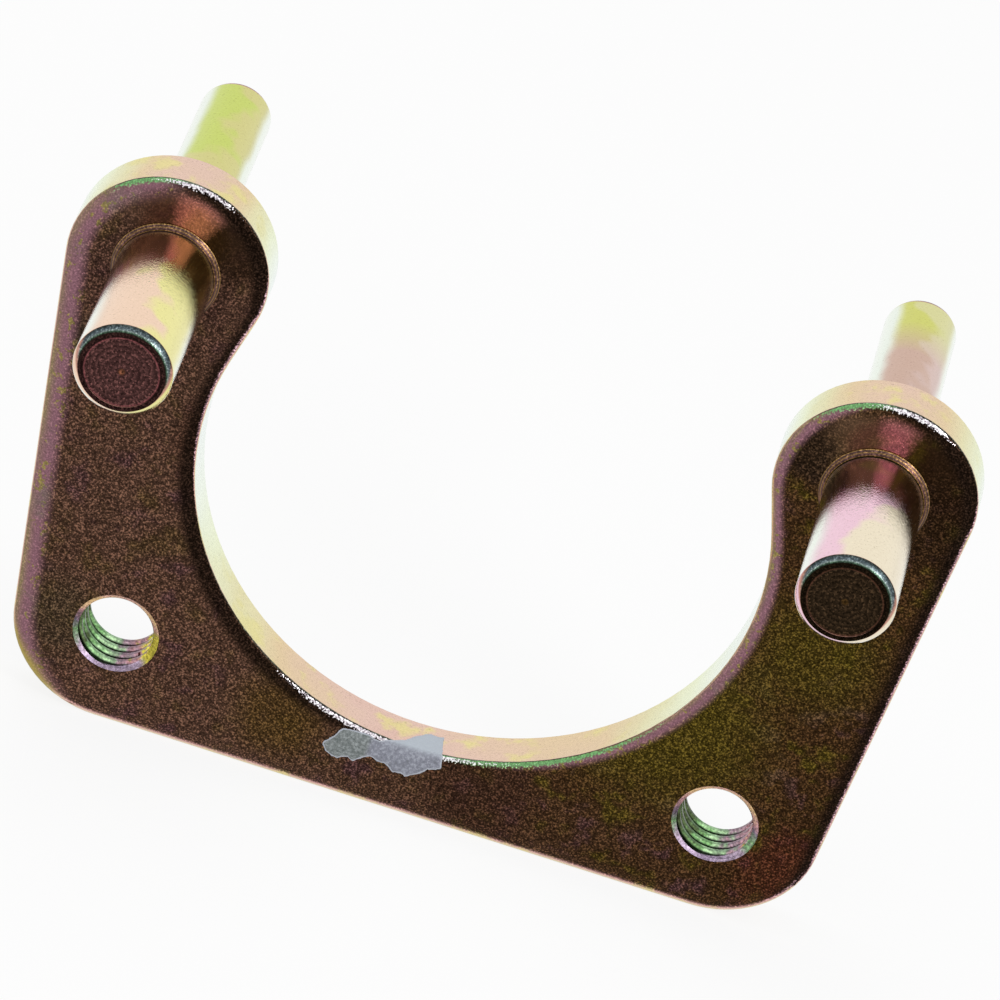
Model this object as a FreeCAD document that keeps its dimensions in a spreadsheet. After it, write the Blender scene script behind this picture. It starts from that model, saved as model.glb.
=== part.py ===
import FreeCAD, Part
import math
import os

import Sketcher
from FreeCAD import Vector

# Brake caliper bracket: a blanked U-shaped steel plate with two stepped guide pins.
# X runs across the bracket, Z up from the tapped holes to the pins, and Y through
# the plate, from its front face to its back face. The origin is midway between the
# two tapped holes and halfway through the plate. Everything is in millimetres.

doc = FreeCAD.newDocument("caliper_bracket")

# Driving dimensions
sizes = doc.addObject("Spreadsheet::Sheet", "Sizes")
DIMENSIONS = [
    # Plate
    ("plate_thickness", 6.35),
    ("hole_spacing", 72.0),
    ("bottom_margin", 12.0),
    ("corner_radius", 12.25),
    ("pin_spacing", 83.0),
    ("pin_height", 47.5),
    ("ear_radius", 11.65),
    ("cutout_height", 30.0),
    ("neck_gap", 0.39),
    ("edge_roll", 0.7),
    ("back_edge_break", 0.2),
    # Tapped holes, drilled for M10 x 1.5
    ("tap_drill_diameter", 8.5),
    ("thread_mouth_diameter", 10.1),
    # Guide pins
    ("front_pin_diameter", 11.3),
    ("front_pin_length", 23.45),
    ("front_pin_chamfer", 0.7),
    ("shank_diameter", 9.0),
    ("back_pin_diameter", 8.5),
    ("back_pin_length", 33.8),
    ("back_pin_rounding", 1.2),
    # Seating collar at the foot of each front pin, with its relief groove
    ("collar_overhang", 0.65),
    ("collar_rim", 0.15),
    ("collar_height", 0.6),
    ("relief_width", 0.3),
    ("relief_depth", 0.15),
]
for row, (alias, value) in enumerate(DIMENSIONS, start=1):
    sizes.set("A%d" % row, alias)
    sizes.set("B%d" % row, str(value))
    sizes.setAlias("B%d" % row, alias)
doc.recompute()


def size(alias):
    """The value that a cell of the sheet holds."""
    return float(getattr(sizes, alias))


def cutout_radius():
    """The cut-out reaches out to the ears' rounds, less the gap that leaves them a neck."""
    reach = math.hypot(size("pin_spacing") / 2, size("pin_height") - size("cutout_height"))
    return reach - size("ear_radius") - size("neck_gap")


CUTOUT_RADIUS = (
    "hypot(Sizes.pin_spacing / 2; Sizes.pin_height - Sizes.cutout_height)"
    " - Sizes.ear_radius - Sizes.neck_gap"
)


def origin_feature(body, role):
    """The plane or axis of a body's own origin that has this role."""
    return next(f for f in body.Origin.OriginFeatures if f.Role == role)


def new_sketch(body, name, plane):
    """An empty sketch on one of the body's origin planes."""
    sketch = body.newObject("Sketcher::SketchObject", name)
    sketch.AttachmentSupport = (origin_feature(body, plane), "")
    sketch.MapMode = "FlatFace"
    return sketch


def drive(sketch, name, kind, place, value, formula):
    """Adds a named dimension to a sketch and binds it to the sheet."""
    index = sketch.addConstraint(Sketcher.Constraint(kind, *place, value))
    sketch.renameConstraint(index, name)
    sketch.setExpression("Constraints." + name, formula)


# Edges nearer than this to a depth lie at it, and a cut takes at least this much metal
SAME_DEPTH_MM = 1e-4
LEAST_CUT_MM3 = 1.0

# Points of a sketch's geometry, and the sketch's own origin and axes
START, END, CENTRE = 1, 2, 3
ORIGIN = (-1, 1)
LEVEL = -1
UPRIGHT = -2


def outward_angle(start, start_radius, end, end_radius):
    """Direction from two circles' centres to the line that touches both on their left."""
    run = end - start
    lean = math.acos((start_radius - end_radius) / run.Length)
    return math.atan2(run.y, run.x) + lean


def on_circle(centre, radius, angle):
    return centre + Vector(radius * math.cos(angle), radius * math.sin(angle), 0)


def arc(centre, radius, first, last):
    """The arc that runs anticlockwise from one angle to the other."""
    circle = Part.Circle(centre, Vector(0, 0, 1), radius)
    return Part.ArcOfCircle(circle, first, last)


def outline_sketch(body):
    """The plate's outline: corners and ears joined by straight flanks, and the round cut-out."""
    corner_radius, ear_radius = size("corner_radius"), size("ear_radius")
    half_holes, half_pins = size("hole_spacing") / 2, size("pin_spacing") / 2
    bottom = -size("bottom_margin")
    corner = Vector(-half_holes, bottom + corner_radius, 0)
    ear = Vector(-half_pins, size("pin_height"), 0)
    cutout = Vector(0, size("cutout_height"), 0)

    flank = outward_angle(corner, corner_radius, ear, ear_radius)
    neck = outward_angle(ear, ear_radius, cutout, -cutout_radius())
    left = {
        "foot": Vector(corner.x, bottom, 0),
        "flank_low": on_circle(corner, corner_radius, flank),
        "flank_high": on_circle(ear, ear_radius, flank),
        "neck_high": on_circle(ear, ear_radius, neck),
        "neck_low": on_circle(cutout, -cutout_radius(), neck),
    }
    right = {name: Vector(-point.x, point.y, 0) for name, point in left.items()}
    right_corner, right_ear = Vector(-corner.x, corner.y, 0), Vector(-ear.x, ear.y, 0)
    right_flank, right_neck = math.pi - flank, math.pi - neck

    sketch = new_sketch(body, "Outline", "XZ_Plane")
    sketch.addGeometry([
        Part.LineSegment(left["foot"], right["foot"]),
        arc(right_corner, corner_radius, -math.pi / 2, right_flank),
        Part.LineSegment(right["flank_low"], right["flank_high"]),
        arc(right_ear, ear_radius, right_flank, right_neck),
        Part.LineSegment(right["neck_high"], right["neck_low"]),
        arc(cutout, cutout_radius(), math.pi + neck, -neck),
        Part.LineSegment(left["neck_low"], left["neck_high"]),
        arc(ear, ear_radius, neck, flank),
        Part.LineSegment(left["flank_high"], left["flank_low"]),
        arc(corner, corner_radius, flank, 1.5 * math.pi),
    ], False)
    (foot, right_corner_arc, right_flank_line, right_ear_arc, right_neck_line, cutout_arc,
     left_neck_line, left_ear_arc, left_flank_line, left_corner_arc) = range(10)

    # The cut-out is the one arc that the outline follows clockwise
    smooth_joints = [
        (foot, END, right_corner_arc, START),
        (right_corner_arc, END, right_flank_line, START),
        (right_flank_line, END, right_ear_arc, START),
        (right_ear_arc, END, right_neck_line, START),
        (right_neck_line, END, cutout_arc, END),
        (cutout_arc, START, left_neck_line, START),
        (left_neck_line, END, left_ear_arc, START),
        (left_ear_arc, END, left_flank_line, START),
        (left_flank_line, END, left_corner_arc, START),
        (left_corner_arc, END, foot, START),
    ]
    for joint in smooth_joints:
        sketch.addConstraint(Sketcher.Constraint("Tangent", *joint))
    sketch.addConstraint(Sketcher.Constraint("Horizontal", foot))
    sketch.addConstraint(Sketcher.Constraint("Equal", right_corner_arc, left_corner_arc))
    sketch.addConstraint(Sketcher.Constraint("Equal", right_ear_arc, left_ear_arc))
    sketch.addConstraint(Sketcher.Constraint("PointOnObject", cutout_arc, CENTRE, UPRIGHT))
    sketch.addConstraint(
        Sketcher.Constraint("Symmetric", right_ear_arc, CENTRE, left_ear_arc, CENTRE, UPRIGHT)
    )

    drive(sketch, "corner_radius", "Radius", (right_corner_arc,), corner_radius, "Sizes.corner_radius")
    drive(sketch, "ear_radius", "Radius", (right_ear_arc,), ear_radius, "Sizes.ear_radius")
    drive(sketch, "cutout_radius", "Radius", (cutout_arc,), cutout_radius(), CUTOUT_RADIUS)
    drive(sketch, "cutout_height", "DistanceY", (*ORIGIN, cutout_arc, CENTRE), cutout.y,
          "Sizes.cutout_height")
    drive(sketch, "pin_spacing", "DistanceX", (left_ear_arc, CENTRE, right_ear_arc, CENTRE),
          2 * half_pins, "Sizes.pin_spacing")
    drive(sketch, "pin_height", "DistanceY", (*ORIGIN, right_ear_arc, CENTRE), ear.y,
          "Sizes.pin_height")
    drive(sketch, "right_hole", "DistanceX", (*ORIGIN, right_corner_arc, CENTRE), half_holes,
          "Sizes.hole_spacing / 2")
    drive(sketch, "left_hole", "DistanceX", (left_corner_arc, CENTRE, *ORIGIN), half_holes,
          "Sizes.hole_spacing / 2")
    drive(sketch, "bottom_margin", "DistanceY", (foot, START, *ORIGIN), -bottom,
          "Sizes.bottom_margin")
    return sketch


def hole_pair_sketch(body, name, half_spacing, height, diameter, spacing_cell, height_cell,
                     diameter_cell):
    """Two equal circles, one each side of the bracket's middle."""
    sketch = new_sketch(body, name, "XZ_Plane")
    for side in (1, -1):
        centre = Vector(side * half_spacing, height, 0)
        sketch.addGeometry(Part.Circle(centre, Vector(0, 0, 1), diameter / 2), False)
    right, left = 0, 1
    sketch.addConstraint(Sketcher.Constraint("Equal", right, left))
    sketch.addConstraint(
        Sketcher.Constraint("Symmetric", right, CENTRE, left, CENTRE, UPRIGHT)
    )
    drive(sketch, "spacing", "DistanceX", (left, CENTRE, right, CENTRE), 2 * half_spacing,
          "Sizes." + spacing_cell)
    drive(sketch, "diameter", "Diameter", (right,), diameter, "Sizes." + diameter_cell)
    if height_cell:
        drive(sketch, "height", "DistanceY", (*ORIGIN, right, CENTRE), height,
              "Sizes." + height_cell)
    else:
        sketch.addConstraint(Sketcher.Constraint("PointOnObject", right, CENTRE, LEVEL))
    return sketch


def edges_at(feature, depth, keep):
    """Names of the edges that lie wholly at this depth in the plate and that keep() accepts."""
    names = []
    for number, edge in enumerate(feature.Shape.Edges, start=1):
        box = edge.BoundBox
        off = max(abs(box.YMin - depth), abs(box.YMax - depth))
        if off < SAME_DEPTH_MM and keep(edge):
            names.append("Edge%d" % number)
    return names


def full_circle(edge):
    return len(edge.Vertexes) == 1


def cut_through(body, name, sketch):
    """Cuts a sketch's circles both ways through the plate and checks that metal has gone."""
    before = body.Tip.Shape.Volume
    pocket = body.newObject("PartDesign::Pocket", name)
    pocket.Profile = sketch
    pocket.SideType = "Symmetric"
    pocket.Type = "ThroughAll"
    doc.recompute()
    if not pocket.Shape.Volume < before - LEAST_CUT_MM3:
        raise RuntimeError(name + " cut nothing")
    return pocket


def make_plate():
    """The blanked plate: rolled front edge, broken back edge, pin bores and tapped holes."""
    body = doc.addObject("PartDesign::Body", "bracket_plate")
    outline = outline_sketch(body)
    blank = body.newObject("PartDesign::Pad", "Blank")
    blank.Profile = outline
    blank.SideType = "Symmetric"
    blank.setExpression("Length", "Sizes.plate_thickness")
    doc.recompute()
    front, back = -size("plate_thickness") / 2, size("plate_thickness") / 2

    # The die drags the sheet's front edge round as it enters, and leaves the back one crisp
    roll = body.newObject("PartDesign::Fillet", "EdgeRoll")
    roll.Base = (blank, edges_at(blank, front, lambda edge: True))
    roll.setExpression("Radius", "Sizes.edge_roll")
    doc.recompute()
    edge_break = body.newObject("PartDesign::Chamfer", "BackEdgeBreak")
    edge_break.Base = (roll, edges_at(roll, back, lambda edge: True))
    edge_break.setExpression("Size", "Sizes.back_edge_break")
    doc.recompute()

    bores = hole_pair_sketch(
        body, "PinBores", size("pin_spacing") / 2, size("pin_height"), size("shank_diameter"),
        "pin_spacing", "pin_height", "shank_diameter",
    )
    cut_through(body, "PinBoreCut", bores)

    tapped = hole_pair_sketch(
        body, "TappedHoles", size("hole_spacing") / 2, 0.0, size("tap_drill_diameter"),
        "hole_spacing", None, "tap_drill_diameter",
    )
    drilled = cut_through(body, "TapDrillCut", tapped)

    # Thread mouths: both ends of each tapped hole, and not those of the pin bores
    def is_mouth(edge):
        return full_circle(edge) and abs(edge.Curve.Center.z) < size("tap_drill_diameter")

    mouths = edges_at(drilled, front, is_mouth) + edges_at(drilled, back, is_mouth)
    chamfer = body.newObject("PartDesign::Chamfer", "ThreadMouths")
    chamfer.Base = (drilled, mouths)
    chamfer.setExpression("Size", "(Sizes.thread_mouth_diameter - Sizes.tap_drill_diameter) / 2")
    body.Tip = chamfer
    doc.recompute()
    return body


def pin_profile(body):
    """Half of a pin's section: front stub, collar on the plate, shank in its bore, back pin.

    Places along the pin are counted from the plate's front face."""
    front, back = size("front_pin_diameter") / 2, size("back_pin_diameter") / 2
    shank, plate_back = size("shank_diameter") / 2, size("plate_thickness")
    tip, chamfer = -size("front_pin_length"), size("front_pin_chamfer")
    collar = front + size("collar_overhang")
    rim, collar_top = -size("collar_rim"), -size("collar_height")
    relief_top, relief = collar_top - size("relief_width"), front - size("relief_depth")
    end, rounding = plate_back + size("back_pin_length"), size("back_pin_rounding")

    # name, radius and place along the axis of each corner, with the formula of each
    front_text = "Sizes.front_pin_diameter / 2"
    shank_text = "Sizes.shank_diameter / 2"
    back_text = "Sizes.back_pin_diameter / 2"
    corners = [
        ("tip", front - chamfer, tip,
         front_text + " - Sizes.front_pin_chamfer", "Sizes.front_pin_length"),
        ("tip_edge", front, tip + chamfer,
         front_text, "Sizes.front_pin_length - Sizes.front_pin_chamfer"),
        ("relief_edge", front, relief_top,
         front_text, "Sizes.collar_height + Sizes.relief_width"),
        ("relief", relief, relief_top + size("relief_width") / 2,
         front_text + " - Sizes.relief_depth", "Sizes.collar_height + Sizes.relief_width / 2"),
        ("collar_top", front, collar_top,
         front_text, "Sizes.collar_height"),
        ("collar_rim", collar, rim,
         front_text + " + Sizes.collar_overhang", "Sizes.collar_rim"),
        ("collar_seat", collar, 0.0,
         front_text + " + Sizes.collar_overhang", None),
        ("shoulder", shank, 0.0,
         shank_text, None),
        ("shank_end", shank, plate_back,
         shank_text, "Sizes.plate_thickness"),
        ("back_pin_foot", back, plate_back,
         back_text, "Sizes.plate_thickness"),
        # The rounding touches the flank and the end square on, which places its other two ways
        ("end_edge", back, end - rounding,
         back_text, None),
        ("end", back - rounding, end,
         None, "Sizes.plate_thickness + Sizes.back_pin_length"),
    ]

    sketch = new_sketch(body, "Profile", "XY_Plane")
    points = [Vector(0, tip, 0)]
    points += [Vector(radius, place, 0) for _, radius, place, _, _ in corners]
    points.append(Vector(0, end, 0))
    rounded = len(corners) - 1
    for index in range(len(points) - 1):
        if index == rounded:
            centre = Vector(back - rounding, end - rounding, 0)
            sketch.addGeometry(arc(centre, rounding, 0.0, math.pi / 2), False)
        else:
            sketch.addGeometry(Part.LineSegment(points[index], points[index + 1]), False)
    axis_line = sketch.addGeometry(Part.LineSegment(points[-1], points[0]), False)

    for line in range(axis_line):
        kind = "Tangent" if rounded in (line, line + 1) else "Coincident"
        sketch.addConstraint(Sketcher.Constraint(kind, line, END, line + 1, START))
    sketch.addConstraint(Sketcher.Constraint("Coincident", axis_line, END, 0, START))
    sketch.addConstraint(Sketcher.Constraint("PointOnObject", axis_line, START, UPRIGHT))
    sketch.addConstraint(Sketcher.Constraint("PointOnObject", axis_line, END, UPRIGHT))
    sketch.addConstraint(Sketcher.Constraint("Horizontal", 0))
    sketch.addConstraint(Sketcher.Constraint("Horizontal", axis_line - 1))

    for line, (name, radius, place, radius_text, place_text) in enumerate(corners, start=1):
        if radius_text is not None:
            drive(sketch, name + "_radius", "DistanceX", (*ORIGIN, line, START), radius, radius_text)
        if place == 0.0:
            sketch.addConstraint(Sketcher.Constraint("PointOnObject", line, START, LEVEL))
        elif place_text is not None:
            ends = (line, START, *ORIGIN) if place < 0 else (*ORIGIN, line, START)
            drive(sketch, name + "_place", "DistanceY", ends, abs(place), place_text)
    drive(sketch, "rounding", "Radius", (rounded,), rounding, "Sizes.back_pin_rounding")
    return sketch


def make_pin(label, side):
    """One turned pin: side is -1 for the left ear and 1 for the right one."""
    body = doc.addObject("PartDesign::Body", label)
    profile = pin_profile(body)
    turned = body.newObject("PartDesign::Revolution", label + "_turned")
    turned.Profile = profile
    turned.ReferenceAxis = (profile, ["V_Axis"])
    turned.Angle = 360.0
    body.Tip = turned
    body.setExpression(".Placement.Base.x", "%d * Sizes.pin_spacing / 2" % side)
    body.setExpression(".Placement.Base.y", "-Sizes.plate_thickness / 2")
    body.setExpression(".Placement.Base.z", "Sizes.pin_height")
    doc.recompute()
    return body


def check(objects):
    """Stops if any object failed to rebuild or a sub-part isn't a sound solid."""
    for item in doc.Objects:
        if "Invalid" in item.State or "Error" in item.State:
            raise RuntimeError("%s did not rebuild: %s" % (item.Name, item.State))
        if item.isDerivedFrom("Sketcher::SketchObject") and item.solve() != 0:
            raise RuntimeError(item.Name + " is not solved")
    for item in objects:
        shape = item.Shape
        if shape.isNull() or not shape.isValid() or len(shape.Solids) != 1:
            raise RuntimeError(item.Label + " is not one sound solid")


def main():
    pieces = [
        make_plate(),
        make_pin("guide_pin_left", -1),
        make_pin("guide_pin_right", 1),
    ]
    doc.recompute()
    check(pieces)
    os.makedirs("parts", exist_ok=True)
    for piece in pieces:
        piece.Shape.exportStep(os.path.join("parts", piece.Label + ".step"))
        box = piece.Shape.BoundBox
        print("%s: %.1f mm3, X %.2f..%.2f, Y %.2f..%.2f, Z %.2f..%.2f" % (
            piece.Label, piece.Shape.Volume, box.XMin, box.XMax, box.YMin, box.YMax,
            box.ZMin, box.ZMax,
        ))


main()
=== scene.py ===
import math

import bmesh
import bpy
from mathutils import Matrix, Vector


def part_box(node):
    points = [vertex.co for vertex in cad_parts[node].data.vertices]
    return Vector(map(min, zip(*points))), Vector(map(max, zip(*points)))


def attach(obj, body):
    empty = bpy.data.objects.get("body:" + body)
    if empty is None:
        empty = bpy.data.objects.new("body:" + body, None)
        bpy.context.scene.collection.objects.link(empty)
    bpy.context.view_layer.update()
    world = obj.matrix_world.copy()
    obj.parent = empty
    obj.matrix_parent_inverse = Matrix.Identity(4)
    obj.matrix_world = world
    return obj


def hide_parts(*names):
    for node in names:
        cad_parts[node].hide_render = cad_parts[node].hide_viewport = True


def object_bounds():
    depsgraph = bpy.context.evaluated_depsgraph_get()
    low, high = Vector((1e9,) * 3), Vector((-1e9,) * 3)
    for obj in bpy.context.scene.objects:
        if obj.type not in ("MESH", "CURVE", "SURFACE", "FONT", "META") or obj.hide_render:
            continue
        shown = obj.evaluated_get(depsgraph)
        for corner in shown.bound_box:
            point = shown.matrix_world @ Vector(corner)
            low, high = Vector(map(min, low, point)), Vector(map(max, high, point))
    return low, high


bl_info = {
    "name": "Brake caliper bracket",
    "version": (1, 0, 0),
    "blender": (4, 5, 0),
    "location": "3D View > Sidebar > Bracket",
    "description": "Finishes a blanked caliper bracket: tapped holes, turned pins and plating",
    "category": "Object",
}

MM = 0.001
WELD = 2e-6
SAME_PLACE = 1e-7
PLATE_NODE = "bracket_plate"
PIN_NODES = {-1: "guide_pin_left", 1: "guide_pin_right"}

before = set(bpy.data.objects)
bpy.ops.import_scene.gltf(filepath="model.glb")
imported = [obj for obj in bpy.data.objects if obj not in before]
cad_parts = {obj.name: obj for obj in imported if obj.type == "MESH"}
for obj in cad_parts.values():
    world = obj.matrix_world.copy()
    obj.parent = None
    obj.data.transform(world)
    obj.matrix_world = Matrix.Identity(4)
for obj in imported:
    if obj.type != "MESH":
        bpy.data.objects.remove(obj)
CAD_BOX = [list(corner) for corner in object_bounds()]
PLATE_LOW, PLATE_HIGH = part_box(PLATE_NODE)
PIN_LOW, PIN_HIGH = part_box(PIN_NODES[1])


def linear(code):
    """An sRGB hex colour as the linear colour that the shaders take."""
    parts = [int(code[i:i + 2], 16) / 255 for i in (1, 3, 5)]
    opened = [c / 12.92 if c <= 0.04045 else ((c + 0.055) / 1.055) ** 2.4 for c in parts]
    return (*opened, 1.0)


# Sizes and colours that a user would change

def length(name, about, value_mm):
    return bpy.props.FloatProperty(
        name=name, description=about, default=value_mm * MM, unit="LENGTH", precision=5)


def colour(name, about, code):
    return bpy.props.FloatVectorProperty(
        name=name, description=about, default=linear(code), size=4, min=0.0, max=1.0,
        subtype="COLOR")


class BracketSizes(bpy.types.PropertyGroup):
    """Sizes of the bracket, read from its solids or measured on the real one."""

    hole_spacing: length("Hole spacing", "Between the two tapped holes", 72.0)
    thread_major: length("Thread diameter", "Outside diameter of the M10 thread", 10.0)
    thread_pitch: length("Thread pitch", "From one turn of the thread to the next", 1.5)
    tap_drill: length("Tap drill", "Diameter of the hole before it is tapped", 8.5)
    mouth: length("Thread mouth", "Diameter of a tapped hole's chamfer at the front", 10.1)
    back_mouth: length("Back mouth", "Diameter of a tapped hole's edge at the back", 8.8)
    pin_spacing: length("Pin spacing", "Between the axes of the guide pins", 83.0)
    pin_height: length("Pin height", "From the tapped holes up to the guide pins", 47.5)
    shank: length("Pin shank", "Diameter of a guide pin inside the plate", 9.0)
    front_pin: length("Front pin", "Diameter of a guide pin in front of the plate", 11.3)
    back_pin: length("Back pin", "Diameter of a guide pin behind the plate", 8.5)
    edge_roll: length("Edge radius", "Radius of the front edge in the blank's solid", 0.7)
    roll_width: length("Roll width", "How far in from the wall the die pulled the face down", 3.4)
    roll_depth: length("Roll depth", "How far it is pulled down where the wall starts", 0.95)
    back_break: length("Back edge break", "Width of the broken edge at the back", 0.2)


class BracketColours(bpy.types.PropertyGroup):
    """Colours of the plating, as one sees it from straight on to sideways.

    The dark straight-on colours, the mauve of the dipped edge and the pale mint are partly
    painted reflection.
    """

    bronze: colour("Bronze", "Film seen straight on, on the left", "#4d372c")
    umber: colour("Umber", "Film seen straight on, on the right", "#392716")
    plum: colour("Plum", "Purple patches of the film seen straight on", "#452e31")
    olive: colour("Olive", "Green-brown patches of the film seen straight on", "#433912")
    mauve: colour("Mauve", "Film on the dipped edge that faces left", "#86606a")
    straw: colour("Straw", "Yellow patches of the film seen at a slant", "#e2d98c")
    mint: colour("Mint", "Film seen nearly edge on", "#eef6ea")
    paper: colour("Paper", "Torn scrap of paper", "#b4bcc6")


# Helpers

def deselect():
    if bpy.context.object and bpy.context.object.mode != "OBJECT":
        bpy.ops.object.mode_set(mode="OBJECT")
    bpy.ops.object.select_all(action="DESELECT")


def make_active(obj):
    deselect()
    obj.select_set(True)
    bpy.context.view_layer.objects.active = obj


def edit(obj):
    make_active(obj)
    bpy.ops.object.mode_set(mode="EDIT")
    bpy.ops.mesh.select_all(action="DESELECT")


def leave_edit():
    bpy.ops.object.mode_set(mode="OBJECT")


def pick(obj, kind, test):
    """Selects the faces, edges or vertices of the mesh in edit mode that pass the test."""
    bpy.ops.mesh.select_all(action="DESELECT")
    bpy.ops.mesh.select_mode(type={"faces": "FACE", "edges": "EDGE", "verts": "VERT"}[kind])
    mesh = bmesh.from_edit_mesh(obj.data)
    found = 0
    for item in getattr(mesh, kind):
        if test(item):
            item.select_set(True)
            found += 1
    mesh.select_flush_mode()
    bmesh.update_edit_mesh(obj.data)
    if not found:
        raise RuntimeError("nothing to select on " + obj.name)
    return found


def apply(obj, kind, **settings):
    """Adds a modifier with its settings and applies it."""
    make_active(obj)
    modifier = obj.modifiers.new(kind.title(), kind)
    for name, value in settings.items():
        setattr(modifier, name, value)
    bpy.ops.object.modifier_apply(modifier=modifier.name)


def finish_shading(obj, angle_deg=30.0):
    """Smooth within the angle, with flat faces kept flat right up to their rounded edges."""
    make_active(obj)
    bpy.ops.object.shade_smooth_by_angle(angle=math.radians(angle_deg))
    edit(obj)
    pick(obj, "edges",
         lambda e: e.is_manifold and e.calc_face_angle() > math.radians(angle_deg))
    bpy.ops.mesh.mark_sharp()
    leave_edit()
    apply(obj, "WEIGHTED_NORMAL", mode="FACE_AREA", weight=100, keep_sharp=True)


def dress(obj, *materials):
    obj.data.materials.clear()
    for material in materials:
        obj.data.materials.append(material)


def turned(name, stations, x, z, segments=96):
    """A body turned about an axis along Y: a circle extruded and scaled from station to station.

    Each station is a radius and a place along Y, in metres. The first and the last are the
    centre points that close the ends."""
    deselect()
    (_, first_y), (start_radius, start_y) = stations[:2]
    bpy.ops.mesh.primitive_circle_add(
        vertices=segments, radius=start_radius, fill_type="NOTHING",
        location=(x, start_y, z), rotation=(math.pi / 2, 0, 0))
    obj = bpy.context.object
    obj.name = obj.data.name = name
    bpy.ops.object.transform_apply(location=True, rotation=True, scale=True)
    bpy.ops.object.mode_set(mode="EDIT")
    radius, place = start_radius, start_y
    for next_radius, next_place in stations[2:]:
        bpy.ops.mesh.extrude_edges_move(
            TRANSFORM_OT_translate={"value": (0, next_place - place, 0)})
        if next_radius == 0:
            bpy.ops.mesh.merge(type="CENTER")
        else:
            share = next_radius / radius
            bpy.ops.transform.resize(
                value=(share, 1, share), center_override=(x, next_place, z))
        radius, place = next_radius, next_place
    # The near end closes on its own centre point
    pick(obj, "verts", lambda v: abs(v.co.y - start_y) < SAME_PLACE and abs(
        math.hypot(v.co.x - x, v.co.z - z) - start_radius) < SAME_PLACE)
    bpy.ops.mesh.extrude_edges_move(TRANSFORM_OT_translate={"value": (0, first_y - start_y, 0)})
    bpy.ops.mesh.merge(type="CENTER")
    bpy.ops.mesh.select_all(action="SELECT")
    bpy.ops.mesh.normals_make_consistent(inside=False)
    leave_edit()
    return obj


# Materials

MATH, RANGE, MIX, NOISE, RAMP = (
    "ShaderNodeMath", "ShaderNodeMapRange", "ShaderNodeMix", "ShaderNodeTexNoise",
    "ShaderNodeValToRGB")
EASED = {"interpolation_type": "SMOOTHSTEP"}
TINT = {"data_type": "RGBA"}
TINTED_BY = {"data_type": "RGBA", "blend_type": "MULTIPLY"}


def add(tree, kind, inputs=None, stops=None, **settings):
    """Adds one shader node: its settings, its inputs as values or links, and a ramp's stops.

    Gives the socket of its result."""
    node = tree.nodes.new(kind)
    for name, value in settings.items():
        setattr(node, name, value)
    for key, value in (inputs or {}).items():
        if isinstance(value, bpy.types.NodeSocket):
            tree.links.new(value, node.inputs[key])
        else:
            node.inputs[key].default_value = value
    if stops:
        points = node.color_ramp.elements
        while len(points) < len(stops):
            points.new(0.5)
        for point, (place, tint) in zip(points, stops):
            point.position = place
            point.color = linear(tint) if isinstance(tint, str) else (*tint, 1.0)
    return next((socket for socket in node.outputs if socket.enabled), None)


def new_material(name):
    material = bpy.data.materials.new(name)
    material.use_nodes = True
    tree = material.node_tree
    tree.nodes.clear()
    return material, tree


# How far the photo's camera looks along the part's Y axis and down its Z axis
LOOKS_AHEAD, LOOKS_DOWN = 0.857, 0.514


def on_the_part(tree):
    """Where a point is on the part, in millimetres, and which way its surface faces.

    slant is 0.86 where the surface faces straight to the front or back, up to 1 where it also
    leans up, and falls to 0 where it faces sideways: the film's colour and its painted reflection
    turn with it."""
    coords = add(tree, "ShaderNodeTexCoord").node
    at = {"mm": add(tree, "ShaderNodeVectorMath", {0: coords.outputs["Object"], "Scale": 1 / MM},
                    operation="SCALE")}
    place = add(tree, "ShaderNodeSeparateXYZ", {0: at["mm"]}).node
    faces = add(tree, "ShaderNodeSeparateXYZ", {0: coords.outputs["Normal"]}).node
    at["x"], at["y"], at["z"] = place.outputs
    at["face_x"], _, at["face_z"] = faces.outputs
    at["normal"] = coords.outputs["Normal"]
    at["face_y"] = add(tree, MATH, {0: faces.outputs[1]}, operation="ABSOLUTE")
    forward = add(tree, MATH, {0: at["face_y"], 1: LOOKS_AHEAD}, operation="MULTIPLY")
    leaning = add(tree, MATH, {0: at["face_z"], 1: LOOKS_DOWN, 2: forward},
                  operation="MULTIPLY_ADD")
    at["slant"] = add(tree, MATH, {0: leaning}, operation="ABSOLUTE")
    at["side"] = add(tree, MATH, {0: at["x"]}, operation="SIGN")
    return at


def about_axis(tree, at, half_spacing, height):
    """A point's place round the nearer of two axes along Y: across, up and distance, in mm."""
    centre = add(tree, MATH, {0: at["side"], 1: half_spacing}, operation="MULTIPLY")
    across = add(tree, MATH, {0: at["x"], 1: centre}, operation="SUBTRACT")
    up = add(tree, MATH, {0: at["z"], 1: height}, operation="SUBTRACT")
    flat = add(tree, "ShaderNodeCombineXYZ", {0: across, 1: up})
    away = add(tree, "ShaderNodeVectorMath", {0: flat}, operation="LENGTH")
    return across, up, away


def leans(tree, at, direction, low, high, ragged):
    """Where the surface leans in a direction, from 0 to 1, with a ragged border.

    low and high are the cosines of the angle to it where that starts and is full."""
    matched = add(tree, "ShaderNodeVectorMath", {0: at["normal"], 1: direction},
                  operation="DOT_PRODUCT")
    matched = add(tree, MATH, {0: ragged, 1: 0.10, 2: matched}, operation="MULTIPLY_ADD")
    return add(tree, RANGE, {0: matched, 1: low, 2: high}, **EASED)


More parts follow.
